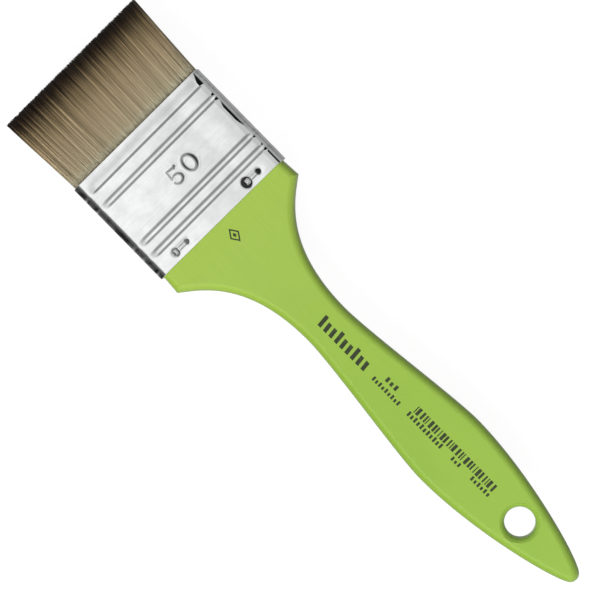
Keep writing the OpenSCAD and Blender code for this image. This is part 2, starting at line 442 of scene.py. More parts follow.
def cross_loop(place, outward, thickness_at, steps=16):
    """Closed loop round the handle at an outline place: the right edge upwards, then the left edge down."""
    turn = np.radians(np.linspace(-90, 90, 2 * steps + 1))
    right = mitred(place, outward, EDGE_IN * (1 - np.cos(turn)))
    lift = np.sign(turn) * (thickness_at(right[:, 1]) / 2 - EDGE_UP) + EDGE_UP * np.sin(turn)
    right = np.column_stack([right, MID_Z + lift])
    left = right[::-1] * [-1, 1, 1]
    return np.concatenate([right, left])


def hole_cutter():
    """Turned solid with the shape of the hanging hole and its two softly rounded rims."""
    half = GRIP_T / 2
    step = 0.004
    # The rim is a flattened arc that runs steeply into the hole
    start, stop = math.radians(102), math.radians(168)
    wide = RIM_R / (math.cos(start) - math.cos(stop))
    deep = 1.5 * wide
    rim = [(HOLE_R + wide * (math.cos(a) - math.cos(stop)), half - step - deep * (math.sin(start) - math.sin(a)))
           for a in np.linspace(start, stop, 10)]
    upper = [(0, half + 1), (HOLE_R + RIM_R, half + 1)] + rim
    profile = upper + [(r, -z) for r, z in reversed(upper)]
    turns = 96
    points = [
        (r * math.cos(a), HOLE_Y + r * math.sin(a), MID_Z + z)
        for a in np.linspace(0, 2 * math.pi, turns, endpoint=False)
        for r, z in profile
    ]
    cutter = make_piece("hole_cutter", points, grid_faces(turns, len(profile), wrap_rows=True), None, None)
    fix_normals(cutter.data, join=True)
    return cutter


def build_handle(material):
    # Tongue inside the ferrule, then the shape outside it
    side = np.array([1.0, 0.0])
    loops = [cross_loop(np.array([HALF_W - 1.3, HEEL_Y + d]), side, tongue_thickness) for d in (14, 8, 1.2)]
    loops += [cross_loop(place, outward, handle_thickness) for place, outward in handle_outline()]
    count = len(loops[0])
    faces = grid_faces(len(loops), count, wrap_columns=True)
    faces.append(tuple(range(count)))
    handle = make_piece("handle_body", np.concatenate(loops), faces, material)
    fix_normals(handle.data, join=True)
    cutter = hole_cutter()
    hole = handle.modifiers.new("hole", "BOOLEAN")
    hole.object = cutter
    hole.solver = "EXACT"
    even = handle.modifiers.new("even", "WEIGHTED_NORMAL")
    even.weight = 50
    apply_modifiers(handle)
    bpy.data.objects.remove(cutter)
    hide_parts("handle")
    return handle


# ---------------------------------------------------------------- printed marks on the handle

# How far the ink stands above the lacquer, and reaches into it
INK_LIFT = 0.03
# Left and right end, start and stop distance from the ferrule, and pitch of each row of dashes
DASH_ROWS = (
    (0.9, 2.5, 65.8, 70.7, 1.7),
    (-1.6, -0.2, 62.9, 73.9, 1.25),
    (-1.6, 0.0, 77.2, 91.0, 1.3),
    (-1.5, -0.2, 95.2, 99.0, 1.3),
    (-1.5, -0.1, 103.2, 111.0, 1.3),
)


def build_prints(material):
    """Plain bars and dashes in the places where such handles carry their print."""
    points, faces = [], []

    def slab(outline):
        """Thin raised patch of ink over an outline of (x, distance from the ferrule) without hollows."""
        start = len(points)
        count = len(outline)
        for lift in (-INK_LIFT, INK_LIFT):
            for x, down in outline:
                y = HEEL_Y - down
                points.append((x, y, MID_Z + float(handle_thickness(y)) / 2 + lift))
        faces.append(tuple(range(start + count, start + 2 * count)))
        faces.append(tuple(reversed(range(start, start + count))))
        for k in range(count):
            n = (k + 1) % count
            faces.append((start + k, start + n, start + count + n, start + count + k))

    def bar(x0, x1, down0, down1, slant=0.0):
        slab([(x0, down0), (x1, down0 + slant), (x1, down1 + slant), (x0, down1)])

    # Lozenge ring with a centre dot, just below the ferrule
    middle, high, wide, line = 5.7, 2.5, 1.7, 0.5
    corners = [(0, -high), (wide, 0), (0, high), (-wide, 0)]
    inner = 1 - line / wide
    for k in range(4):
        (ax, ay), (bx, by) = corners[k], corners[(k + 1) % 4]
        slab([(ax - 0.6, middle + ay), (bx - 0.6, middle + by),
              (bx * inner - 0.6, middle + by * inner), (ax * inner - 0.6, middle + ay * inner)])
    slab([(x * 0.32 - 0.6, middle + y * 0.32) for x, y in corners])

    # Row of bold slanted bars of two heights
    for k in range(9):
        top = 2.1 if k % 3 == 0 else 1.2
        start = 40.8 + 2.2 * k
        bar(-1.7, top, start, start + 1.25, slant=-0.35)

    # Short rows of dashes
    for x0, x1, down0, down1, pitch in DASH_ROWS:
        down = down0
        step = 0
        while down < down1 - 0.05:
            bar(x0, x1 - 0.35 * (step % 2), down, min(down + pitch * 0.55, down1))
            down += pitch
            step += 1

    # Group of upright bars with widths that repeat in a plain rhythm
    down = 78.0
    step = 0
    while down < 109.6:
        width = 0.32 + 0.22 * (step * 7 % 4)
        bar(0.4, 2.8, down, down + width)
        down += width + 0.36 + 0.2 * (step * 5 % 3)
        step += 1
    prints = make_piece("printed_marks", points, faces, material)
    prints.data.shade_flat()
    return prints


# ---------------------------------------------------------------- ferrule

# Grooves as (upper wall centre, lower wall centre, upper wall width, lower wall width, depth), measured
# from the mouth. The one at the mouth is a long ramp with one steep wall.
GROOVES = (
    (2.0, 4.2, 4.0, 1.1, 0.34),
    (8.4, 9.95, 1.25, 1.25, 0.3),
    (23.65, 25.2, 1.25, 1.25, 0.3),
    (28.3, 29.9, 1.25, 1.25, 0.3),
)
# The press left its marks a little low and slightly askew
PRESS_LOW, PRESS_SKEW = 0.4, 0.0063

# The sheet's ends overlap at the front right corner. Places past the end of the front's flat, along the
# section: where the upper layer starts to rise, where it has risen and where it is cut off.
LAP_START, LAP_FULL, LAP_END = -9.5, -1.5, 1.9
LAP_STEP = 0.22
# The cut edge as (distance on, share of the step), from the top of the upper layer to its foot
LAP_FOLD = ((-0.08, 1.0), (-0.03, 0.9), (0.0, 0.6), (0.0, 0.05))
# Columns of the mesh that slide with the cut edge lie between these two places
SLIDE_FROM, SLIDE_TO = -1.2, 2.4
# Where the upper layer's edge is drawn back: (from, to, how far, easing in, easing out) from the mouth
LAP_GAPS = (
    (-1.0, 4.4, 1.4, 4.4, 0.5),
    (7.7, 8.9, 0.9, 0.4, 0.4),
    (9.3, 10.6, 1.1, 0.4, 0.5),
    (10.4, 22.4, 0.85, 3.0, 4.5),
    (24.7, 25.8, 0.75, 0.4, 0.4),
    (27.9, 28.8, 0.6, 0.3, 0.3),
    (29.4, 30.6, 1.0, 0.4, 0.4),
    (30.6, 37.0, 0.6, 0.4, 0.4),
)

# Hollows at a nail's shank and point, darkened with painted shadow: (nail's place, offset, half width, half height,
# depth, painted shade)
NAIL_HOLLOWS = (
    (NAIL_XS[0], 0.3, 1.15, 1.4, 0.3, 0.42),
    (NAIL_XS[0], 4.7, 0.8, 0.8, 0.35, 0.5),
    (NAIL_XS[1], 0.2, 1.65, 1.85, 0.5, 0.9),
    (NAIL_XS[1], 4.85, 0.9, 0.95, 0.4, 0.85),
)


def down_from_mouth(x, y):
    """Place along the ferrule in the press's own frame."""
    return MOUTH_Y - y - PRESS_LOW + PRESS_SKEW * x


def groove_depth(x, y):
    down = down_from_mouth(x, y)
    depth = np.zeros_like(down)
    for upper, lower, upper_w, lower_w, deep in GROOVES:
        rise = smooth(upper - upper_w / 2, upper + upper_w / 2, down)
        fall = smooth(lower - lower_w / 2, lower + lower_w / 2, down)
        depth += deep * (rise - fall)
    return depth


def panel_bulge(x, y):
    """The sheet stands slightly proud between one groove and the next."""
    down = down_from_mouth(x, y)
    bulge = np.zeros_like(down)
    for above, below, height in ((4.9, 7.7, 0.03), (10.6, 23.0, 0.1), (25.9, 27.6, 0.015)):
        middle, half = (above + below) / 2, (below - above) / 2
        bulge += height * np.clip(1 - ((down - middle) / half) ** 2, 0, 1)
    return bulge


def lap_gap(y):
    """How far the upper layer's edge is drawn back at each place along the ferrule."""
    down = down_from_mouth(HALF_W, y)
    gap = np.zeros_like(down)
    for start, stop, width, rise, fall in LAP_GAPS:
        gap += width * smooth(start, start + rise, down) * (1 - smooth(stop - fall, stop, down))
    return gap


def ring_stroke(x, y, centre, outer, inner, shift):
    """Distance inside an oval ring whose inner oval is smaller and shifted: above 0 within the stroke."""
    dx, dy = x - centre[0], y - centre[1]
    out = 1 - np.hypot(dx / outer[0], dy / outer[1])
    into = np.hypot((dx - shift[0]) / inner[0], (dy - shift[1]) / inner[1]) - 1
    return np.minimum(out * min(outer), into * min(inner))


def line_stroke(x, y, a, b, half_a, half_b):
    """Distance inside a straight stroke that changes width from a to b."""
    ab = np.array(b) - np.array(a)
    t = np.clip(((x - a[0]) * ab[0] + (y - a[1]) * ab[1]) / (ab @ ab), 0, 1)
    gap = np.hypot(x - a[0] - t * ab[0], y - a[1] - t * ab[1])
    return half_a + (half_b - half_a) * t - gap


def numeral_stroke(x, y):
    """The stamped size numeral 50 in a plain serif form, as a distance inside the strokes."""
    zero = ring_stroke(x, y, (5.05, 0.24), (2.43, 2.83), (1.36, 2.25), (-0.12, 0.0))
    bowl = ring_stroke(x, y, (-0.55, -0.83), (1.9, 1.63), (1.26, 1.2), (-0.26, 0.1))
    # The bowl is open towards the upper left
    opening = line_stroke(x, y, (-2.95, -0.51), (-1.75, -0.36), 0.6, 0.55)
    bowl = np.minimum(bowl, -opening)
    stem = line_stroke(x, y, (-2.2, 0.2), (-1.95, 2.6), 0.17, 0.19)
    flag = line_stroke(x, y, (-1.95, 2.72), (0.3, 2.5), 0.16, 0.24)
    blob = line_stroke(x, y, (0.4, 2.2), (0.95, 2.6), 0.32, 0.42)
    return np.maximum.reduce([zero, bowl, stem, flag, blob])


def wire_bed(x, y, nail_x):
    """1 beside the wire that lies bent over on the front, fading to 0 away from it."""
    t = np.clip((x - nail_x) / NAIL_RUN, 0, 1)
    away = np.hypot(x - nail_x - t * NAIL_RUN, y - NAIL_Y)
    return 1 - smooth(0.7, 1.7, away)


def nail_hollows(x, y):
    """Depth of the hollows round the nails, and how dark the painted shadow makes each place in them."""
    depth = np.zeros(x.shape)
    dark = np.zeros(x.shape)
    for nail_x, offset, wide, high, deep, painted_shade in NAIL_HOLLOWS:
        outside = (np.hypot((x - nail_x - offset) / wide, (y - NAIL_Y) / high) - 1) * wide
        depth = np.maximum(depth, deep * (1 - smooth(-0.5, 0.1, outside)))
        dark = np.maximum(dark, painted_shade * (1 - smooth(-0.3, 0.1, outside)))
    return depth, dark


# Painted dark reflection on the rounded front edges: least and added share on the left, share on the right, and what
# stays of it on the flats of the narrow sides
LEFT_DARK_BASE, LEFT_BLOTCHES, RIGHT_BLOTCHES, SIDE_SHARE = 0.62, 0.33, 0.22, 0.06
# Rows with less of the painted dark reflection on the left side: mm below the mouth, and half height
LIGHTER_ROWS = ((4.7, 0.8), (9.4, 0.6), (24.2, 0.9), (28.4, 0.8), (34.2, 0.6))


def sheet_waves(x, y, seed, shortest, longest):
    """Unevenness of thin sheet, from a few crossed sine waves with fixed phases."""
    rng = np.random.default_rng(seed)
    total = np.zeros(np.broadcast(x, y).shape)
    for _ in range(7):
        length = rng.uniform(shortest, longest)
        way = rng.uniform(0, math.pi)
        phase = rng.uniform(0, 2 * math.pi)
        total += np.sin(2 * math.pi * (x * math.cos(way) + y * math.sin(way)) / length + phase)
    return total / 7


def front_inset(x, y, drop):
    """How far the front of the sheet is pressed in, for places that lie a drop below its flat."""
    left_fade = smooth(-23.2, -19.2, x)
    groove = np.maximum(groove_depth(x, y) - drop, 0) * left_fade
    flat_share = 1 - smooth(0.0, 1.2, drop)
    convex = 0.42 * np.clip(1 - (x / (HALF_W - CORNER_R)) ** 2, 0, 1)
    waves = 0.012 * sheet_waves(x, y, 4, 5, 16) * flat_share
    return groove - panel_bulge(x, y) * flat_share - convex - waves


def front_place(past):
    """Section of the front and its right corner at a distance past the end of the flat: x, z, normal x, z."""
    turn = np.clip(past, 0, None) / CORNER_R
    x = HALF_W - CORNER_R + np.minimum(past, 0) + CORNER_R * np.sin(turn)
    return x, HALF_T - CORNER_R + CORNER_R * np.cos(turn), np.sin(turn), np.cos(turn)


def front_columns(rows):
    """Distance past the flat, and height of the lap there, of the front's columns in every row."""
    flat_x = HALF_W - CORNER_R
    zones = [(-flat_x, -flat_x + 2, 0.3), (-3.6, 7.8, 0.13)]
    zones += [(x - 2.2, x + NAIL_RUN + 1.4, 0.2) for x in NAIL_XS]
    flat = stations(-flat_x, flat_x + SLIDE_FROM, sorted(zones), 0.9) - flat_x
    edge = (LAP_END - lap_gap(rows))[:, None]
    upper = SLIDE_FROM + np.linspace(0, 1, 15)[1:-1] * (edge - SLIDE_FROM)
    fold = edge + np.array([further for further, _ in LAP_FOLD])
    lower = edge + np.linspace(0, 1, 12)[1:-1] * (SLIDE_TO - edge)
    corner = np.radians(stations(math.degrees(SLIDE_TO / CORNER_R), 90, [], 6))[:-1] * CORNER_R
    even = np.ones_like(edge)
    past = np.concatenate([flat * even, upper, fold, lower, corner * even], 1)
    height = LAP_STEP * smooth(LAP_START, LAP_FULL, past)
    first_fold = len(flat) + upper.shape[1]
    height[:, first_fold:] = 0
    for k, (_, share) in enumerate(LAP_FOLD):
        height[:, first_fold + k] = LAP_STEP * share
    return past, height


def ferrule_loop():
    """Stations round the rest of the ferrule's section: x, z, outward normal, and 1 on the back."""
    flat_x, flat_z = HALF_W - CORNER_R, HALF_T - CORNER_R
    back = stations(-flat_x, flat_x, [(x - 2.4, x + 2.4, 0.25) for x in NAIL_XS], 1.2)[::-1]
    side = np.array([1.0, 0.2, -0.2, -1.0]) * flat_z
    turn = np.radians(np.linspace(0, 90, 13))[1:-1]

    def corner(sign_x, sign_z, angles):
        return [(sign_x * (flat_x + CORNER_R * math.cos(a)), sign_z * (flat_z + CORNER_R * math.sin(a)),
                 sign_x * math.cos(a), sign_z * math.sin(a), 0) for a in angles]

    loop = [(HALF_W, z, 1.0, 0.0, 0) for z in side] + corner(1, -1, turn)
    loop += [(x, -HALF_T, 0.0, -1.0, 1) for x in back]
    loop += corner(-1, -1, turn[::-1])
    loop += [(-HALF_W, z, -1.0, 0.0, 0) for z in side[::-1]] + corner(-1, 1, turn)
    return np.array(loop)


def ferrule_rows():
    """Rows along the ferrule, close together where something is pressed into the sheet."""
    presses = [MOUTH_Y - PRESS_LOW - d for groove in GROOVES for d in groove[:2]]
    fine = [(y - 0.9, y + 0.9, 0.15) for y in presses]
    fine += [(-2.9, 3.3, 0.13), (NAIL_Y - 2.1, NAIL_Y + 2.1, 0.18)]
    rows = stations(HEEL_Y + 0.22, MOUTH_Y - 0.22, sorted(fine), 0.5)
    # Two close rows at each end keep the bend of the rolled edges from spreading
    return np.concatenate([[HEEL_Y + 0.12, HEEL_Y + 0.16], rows, [MOUTH_Y - 0.16, MOUTH_Y - 0.12]])


def build_ferrule(material):
    rows = ferrule_rows()
    past, height = front_columns(rows)
    front_count = past.shape[1]
    loop = ferrule_loop()
    on_back = np.concatenate([np.zeros(front_count), loop[:, 4]])[None, :] == 1
    x, z, nx, nz = [np.concatenate([front, np.broadcast_to(rest, (len(rows), len(loop)))], 1)
                    for front, rest in zip(front_place(past), loop.T)]
    y = np.broadcast_to(rows[:, None], x.shape)
    front = np.broadcast_to(np.arange(x.shape[1]) < front_count, x.shape)
    # The front runs on over the left corner
    front = front | (nz > 0.3)
    drop = HALF_T - np.abs(z)
    hollow, hollow_shade = nail_hollows(x, y)
    bed = sum(wire_bed(x, y, nail_x) for nail_x in NAIL_XS)
    inset = np.where(front, front_inset(x, y, drop) + 0.1 * bed + hollow, 0)
    inset[:, :front_count] -= height
    heads = sum(1 - smooth(1.6, 2.2, np.hypot(x - nail_x, y - NAIL_Y)) for nail_x in NAIL_XS)
    inset += np.where(on_back, np.maximum(groove_depth(x, y) - drop, 0) + 0.55 * heads, 0)
    # Small dents along the narrow sides
    inset += 0.05 * sheet_waves(z, y, 9, 1.6, 5) * smooth(0.2, 1.0, np.abs(nx)) * (drop > 0.3)
    stroke = np.where(front, numeral_stroke(x, y), -9)
    inset += 0.1 * smooth(-0.14, 0.14, stroke) - 0.02 * np.exp(-((stroke + 0.3) / 0.14) ** 2)
    # Rolled edges, and a plain inner wall that clears the grooves and hollows
    rim = [(0.0, 0.12), (0.0, 0.28), (0.12, SHEET), (0.8, SHEET), (1.3, 1.0)]
    ends = [(-1, MOUTH_Y - d, deep) for d, deep in rim] + [(0, HEEL_Y + d, deep) for d, deep in reversed(rim)]
    rings = [np.stack([x - nx * inset, y, MID_Z + z - nz * inset], 2)]
    for row, end_y, deep in ends:
        wall = np.maximum(inset[row] + 0.02, deep) if deep < SHEET else deep
        rings.append(np.stack([x[row] - nx[row] * wall, np.full(x.shape[1], end_y),
                               MID_Z + z[row] - nz[row] * wall], 1)[None])
    points = np.concatenate(rings)
    count = points.shape[1]
    faces = grid_faces(len(points), count, wrap_rows=True, wrap_columns=True)
    ferrule = make_piece("ferrule_sheet", points.reshape(-1, 3), faces, material)
    # Painted shade lies in the numeral's stamped strokes, painted shadow in the hollows round the nails and under the
    # drawn-back edge of the lap, and a painted dark reflection on the rounded front edges
    gap = lap_gap(rows)[:, None]
    after_edge = past - (LAP_END - gap)
    under_lap = smooth(-0.01, 0.0, after_edge) * (height < LAP_STEP * 0.95) * (1 - smooth(-0.2, 0.25, past - LAP_END))
    lighter = np.maximum.reduce([1 - smooth(0, half, abs(MOUTH_Y - y - row)) for row, half in LIGHTER_ROWS])
    # Blotches of painted dark reflection on the rounded front edges, heaviest on the left
    left = LEFT_DARK_BASE + LEFT_BLOTCHES * smooth(-0.12, 0.28, sheet_waves(0.7 * z, y, 12, 1.6, 7))
    right = RIGHT_BLOTCHES * smooth(0.05, 0.4, sheet_waves(0.7 * z, y, 15, 1.4, 6))
    blotches = np.maximum(left * (1 - 0.9 * lighter) * smooth(0.25, 0.6, -nx), right * smooth(0.3, 0.7, nx))
    blotches *= (1 - (1 - SIDE_SHARE) * smooth(0.92, 0.995, abs(nx))) * (nz > 0)
    painted_shade = np.zeros(points.shape[:2])
    painted_shade[:len(rows)] = np.maximum.reduce([blotches, 0.95 * smooth(-0.12, 0.4, stroke),
                                           np.where(front, hollow_shade, 0)])
    # Painted shadow in the gap under the lap's drawn-back edge
    painted_shade[:len(rows), :front_count] = np.maximum(painted_shade[:len(rows), :front_count],
                                                 under_lap * np.maximum(0.3, smooth(0.12, 0.3, gap)))
    point_attribute(ferrule.data, "painted_shade", painted_shade)
    fix_normals(ferrule.data)
    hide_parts("ferrule")
    return ferrule


# ---------------------------------------------------------------- nails

# Height of the wire's hammered side as a share of its radius
HAMMERED = 0.78
# Where each nail's wire is dented right of its shank, how wide its bend is spread, and how much painted shade
# darkens its point and its shank
NAIL_SHAPES = ((1.05, 1.3, 0.6, 0.3), (1.6, 1.35, 0.95, 0.9))


def tube(path, radii, across, sides=16):
    """Points of a tube along a path in the XZ plane, with its width along Y scaled by across."""
    path = np.asarray(path, float)
    travel = np.gradient(path, axis=0)
    travel /= np.linalg.norm(travel, axis=1)[:, None]
    points = []
    for place, way, radius, wide in zip(path, travel, radii, across):
        up = np.array([-way[1], way[0]])
        for a in np.linspace(0, 2 * math.pi, sides, endpoint=False):
            # The outer side of the wire is hammered flat
            off = up * radius * min(math.cos(a), HAMMERED)
            points.append((place[0] + off[0], radius * wide * math.sin(a), place[1] + off[1]))
    return np.array(points)


def nail_path(front_z):
    """Centre line of a clinched nail: up the shank, over to the right, down into the wood."""
    bend = 0.35
    turn = np.radians(np.linspace(0, 90, 9))
    rise = [(0.0, z) for z in np.linspace(0.3, front_z - bend, 8)]
    over = [(bend - bend * math.cos(a), front_z - bend + bend * math.sin(a)) for a in turn[1:]]
    dip = 0.9
    run = [(x, front_z) for x in np.linspace(bend, NAIL_RUN - dip, 28)[1:]]
    down = [(NAIL_RUN - dip + dip * math.sin(a), front_z - dip + dip * math.cos(a)) for a in turn[1:]]
    drive = [(NAIL_RUN, front_z - dip - d) for d in (0.8, 1.6, 2.4)]
    return rise + over + run + down + drive


def build_nails(material):
    front_z = MID_Z + HALF_T + WIRE_LIFT
    path = nail_path(front_z)
    out = np.array(path)[:, 0]
    # Hammered flat where it lies on the sheet, thinner towards the point
    flat = smooth(0.3, 1.0, out) * (1 - smooth(3.5, 4.2, out))
    sides = 20
    wire_faces = grid_faces(len(path), sides, wrap_columns=True)
    wire_faces.append(tuple(range(sides)))
    wire_faces.append(tuple(reversed(range((len(path) - 1) * sides, len(path) * sides))))
    # Round head with a softened edge, flush in its pocket on the back
    head_profile = [(0.0, 0.06), (1.1, 0.06), (1.32, 0.12), (1.4, 0.25), (1.36, 0.42), (0.0, 0.5)]
    turns = 32
    head = [(r * math.cos(a), r * math.sin(a), h)
            for a in np.linspace(0, 2 * math.pi, turns, endpoint=False) for r, h in head_profile]
    head_faces = grid_faces(turns, len(head_profile), wrap_rows=True)
    points, faces, painted_shade = [], [], []
    for nail_x, (dent, spread, point_shade, shank_shade) in zip(NAIL_XS, NAIL_SHAPES):
        dented = np.exp(-((out - dent) / 0.26) ** 2) * (np.array(path)[:, 1] > front_z - 0.1)
        radii = (0.68 - 0.04 * flat - 0.2 * smooth(4.0, 5.0, out)) * (1 - 0.3 * dented)
        bent = smooth(front_z - 2.0, front_z - 0.6, np.array(path)[:, 1]) * (1 - smooth(dent - 0.5, dent, out))
        wire = tube(path, radii, 1 + 0.15 * flat + (spread - 1) * bent, sides)
        # Painted shade in the dent, at the point where it dives into its hollow, and at the shank where it leaves its
        # hollow
        wire_shade = np.maximum.reduce([
            np.repeat(0.7 * dented, sides),
            point_shade * smooth(NAIL_RUN - 1.3, NAIL_RUN - 0.6, wire[:, 0]),
            shank_shade * (1 - smooth(-0.25, 0.2, wire[:, 0])),
        ])
        for part, part_faces, part_shade in ((wire, wire_faces, wire_shade),
                                             (np.array(head), head_faces, np.zeros(len(head)))):
            start = len(points)
            points.extend(part + [nail_x, NAIL_Y, 0])
            faces.extend(tuple(start + i for i in face) for face in part_faces)
            painted_shade.extend(part_shade)
    nails = make_piece("nails", points, faces, material)
    point_attribute(nails.data, "painted_shade", painted_shade)
    fix_normals(nails.data, join=True)
    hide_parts("ferrule_nails")
    return nails


# ---------------------------------------------------------------- bristles

MOUTH_HALF_W = HALF_W - SHEET - 0.25
MOUTH_HALF_T = HALF_T - SHEET - 0.15
TIP_HALF_T = 2.5
SECTION_R = 2.4


def section_points(rng, count, near, far):
    """Random places in the tuft's rounded section, between two depths below its surface."""
    found = np.zeros((0, 2))
    while len(found) < count:
        spots = rng.uniform(-1, 1, (count * 4, 2)) * [MOUTH_HALF_W, MOUTH_HALF_T]
        corner = np.abs(spots) - [MOUTH_HALF_W - SECTION_R, MOUTH_HALF_T - SECTION_R]
        depth = SECTION_R - np.hypot(*np.maximum(corner, 0).T) - np.minimum(corner.max(1), 0)
        found = np.concatenate([found, spots[(depth >= near) & (depth <= far)]])
    return found[:count]


def strand_centres(spots, along, clump, drift):
    """Centre lines of strands: each flares out to the tips and leans towards its clump."""
    t = np.clip(along, 0, 1)[None, :]
    wide = 1 + (TIP_HALF_W / (HALF_W - SHEET) - 1) * t
    thin = 1 + (TIP_HALF_T / MOUTH_HALF_T - 1) * t
    lean = smooth(0.1, 1, t)
    x = (spots[:, :1] + (clump[:, :1] - spots[:, :1]) * 0.5 * lean) * wide + drift[:, :1] * lean
    z = (spots[:, 1:] + (clump[:, 1:] - spots[:, 1:]) * 0.3 * lean) * thin + drift[:, 1:] * lean
    return x, z


def streaks(x):
    """Lighter and darker clumps across the tuft as 0 to 1, from sine waves with fixed phases."""
    rng = np.random.default_rng(5)
    total = np.zeros_like(x)
    for length, share in ((3.1, 0.5), (2.2, 0.7), (1.45, 1.0), (1.05, 1.0), (0.75, 0.9), (0.52, 0.6)):
        total += share * np.sin(2 * math.pi * x / length + rng.uniform(0, 2 * math.pi))
    return np.clip(0.5 + 0.16 * total, 0, 1)


def build_strands(name, material, seed, count, near, far, start, rings, keep=None):
    """Tapered three-sided filaments from two depths below the tuft's surface; keep takes one side's only."""
    rng = np.random.default_rng(seed)
    spots = section_points(rng, count, near, far)
    if keep is not None:
        spots = spots[np.sign(spots[:, 1]) == keep]
    count = len(spots)
    clump_x = np.round(spots[:, :1] / 0.55) * 0.55 + 0.16 * np.sin(spots[:, :1] * 3.1)
    clump = np.concatenate([clump_x, np.round(spots[:, 1:] / 0.9) * 0.9], 1)
    drift = rng.normal(0, 1, (count, 2)) * [0.1, 0.07]
    length = TIP_Y - MOUTH_Y
    clump_end = np.sin(clump_x[:, 0] * 7.3) * 0.12 + np.sin(clump_x[:, 0] * 1.9 + 1) * 0.06
    end = 1 - (np.abs(rng.normal(0, 0.28, count)) + 0.12 + clump_end.clip(0)) / length
    share = np.linspace(0, 1, rings)
    along = start + (1 - start) * share
    x, z = strand_centres(spots, along, clump, drift)
    y = MOUTH_Y + length * (start + (end[:, None] - start) * share[None, :])
    base_r = rng.uniform(0.062, 0.09, (count, 1))
    radius = base_r * (1 - 0.62 * smooth(0.35, 1.0, along)[None, :])
    spin = rng.uniform(0, 2 * math.pi, (count, 1))
    corners = []
    for k in range(3):
        a = spin + k * 2 * math.pi / 3
        corners.append(np.stack([x + radius * np.cos(a), y, MID_Z + z + radius * np.sin(a)], 2))
    points = np.stack(corners, 2).reshape(-1, 3)
    ring = np.arange(rings - 1)[:, None] * 3
    side = np.arange(3)[None, :]
    quads = np.stack([ring + side, ring + (side + 1) % 3, ring + 3 + (side + 1) % 3, ring + 3 + side], 2)
    quads = quads.reshape(-1, 4)
    per_strand = rings * 3
    faces = []
    for s in range(count):
        first = s * per_strand
        faces.extend((quads + first).tolist())
        faces.append((first + 2, first + 1, first))
        faces.append((first + per_strand - 3, first + per_strand - 2, first + per_strand - 1))
    strands = make_piece(name, points, faces, material, body=None)
    # Painted shade on the strands at the left edge and painted light on those at the right edge, against the key
    # lamp's light from the left
    edge = smooth(MOUTH_HALF_W - 1.2, MOUTH_HALF_W, np.abs(spots[:, 0]))
    shade = 0.5 + rng.normal(0, 0.16, count) + edge * np.where(spots[:, 0] > 0, 0.4, -0.35)
    point_attribute(strands.data, "along", (points[:, 1] - MOUTH_Y) / length)
    point_attribute(strands.data, "shade", np.repeat(np.clip(shade, 0, 1), per_strand))
    streak = streaks(spots[:, 0] + 0.3 * np.sign(spots[:, 1]))
    point_attribute(strands.data, "streak", np.repeat(streak, per_strand))
    return strands


def build_core(material):
    """Solid heart of the tuft, a little inside the filaments and short of their tips, darkened with painted shade."""
    length = TIP_Y - MOUTH_Y
    turn = np.linspace(0, 2 * math.pi, 121)[:-1]
    along = np.linspace(-0.08, 0.93, 26)
    points = []
    for t in along:
        u = min(max(t, 0), 1)
        wide = (MOUTH_HALF_W - 0.55) * (1 + (TIP_HALF_W / (HALF_W - SHEET) - 1) * u)
        thin = (MOUTH_HALF_T - 0.55) * (1 + (TIP_HALF_T / MOUTH_HALF_T - 1) * u)
        soft = 1 - 0.35 * float(smooth(0.86, 0.93, t))
        power = 0.22
        for a in turn:
            x = wide * math.copysign(abs(math.cos(a)) ** power, math.cos(a))
            z = thin * soft * math.copysign(abs(math.sin(a)) ** (power * 2.5), math.sin(a))
            points.append((x, MOUTH_Y + length * t, MID_Z + z))
    count = len(turn)
    faces = grid_faces(len(along), count, wrap_columns=True)
    faces.append(tuple(range(count)))
    faces.append(tuple(reversed(range((len(along) - 1) * count, len(along) * count))))
    core = make_piece("tuft_core", points, faces, material, body=None)
    fix_normals(core.data)
    point_attribute(core.data, "along", (np.array(points)[:, 1] - MOUTH_Y) / length)
    # The core's low shade and streak values make it darker: painted shade deep inside the tuft
    point_attribute(core.data, "shade", np.full(len(points), 0.05))
    point_attribute(core.data, "streak", np.full(len(points), 0.4))
    return core


def build_tuft(material):
    front = build_strands("bristles_front", material, 11, 9000, 0.0, 1.0, -0.06, 7, keep=1)
    back = build_strands("bristles_back", material, 12, 9000, 0.0, 1.0, -0.06, 7, keep=-1)
    inner = build_strands("bristles_inner", material, 13, 5000, 0.6, 5.0, 0.8, 3)
    core = build_core(material)
    for piece in (front, back, inner, core):
        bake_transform(piece)
    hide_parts("bristle_tuft")
    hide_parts("bristle_roots")


# ---------------------------------------------------------------- studio

# Camera: the point it looks at, its distance, the width it sees there, and its two turns in degrees
CAMERA_TARGET = (-0.6, -50.2, MID_Z)
CAMERA_DISTANCE = 900.0
FRAME_W = 173.3
CAMERA_TILT = 5.0
CAMERA_ROLL = 44.4

# Height of the floor, which leaves room below for the tips when the tuft bends back
FLOOR_Z = -11.5
# Brightness of the surroundings
WORLD_LIGHT = 0.27
FLOOR_GLOW = 0.92
REFLECTION_STRENGTH = 1.17
# What polished metal mirrors, by degrees from straight up: towards +X, and towards +Y
ACROSS_REFLECTIONS = (
    (-180, 0.6), (-130, 0.5), (-108, 0.12), (-75, 0.13), (-42, 0.1), (-33, 0.98), (-5, 0.98), (1, 0.66),
    (10, 0.58), (50, 0.6), (58, 0.42), (84, 0.42), (100, 0.26), (118, 0.24), (135, 0.36), (180, 0.3),
)
ALONG_REFLECTIONS = (
    (-90, 0.85), (-68, 0.75), (-56, 0.24), (-36, 0.22), (-24, 0.46), (-17, 0.64), (-12, 0.66), (-5, 0.94), (0, 0.97),
    (5, 0.97), (11, 1.0), (17, 0.98), (24, 0.75), (37, 0.22), (56, 0.24), (68, 0.75), (90, 0.85),
)
# How much of a plain pale room shows instead, by the same degrees, and its brightness: it fills the corners
# that lie off both to a side and to an end, which the photo's view doesn't mirror
ACROSS_ROOM = ((-180, 1), (-28, 1), (-18, 0), (8, 0), (18, 1), (180, 1))
ALONG_ROOM = ((-90, 1), (-35, 1), (-26, 0), (26, 0), (35, 1), (90, 1))
ROOM = 0.74


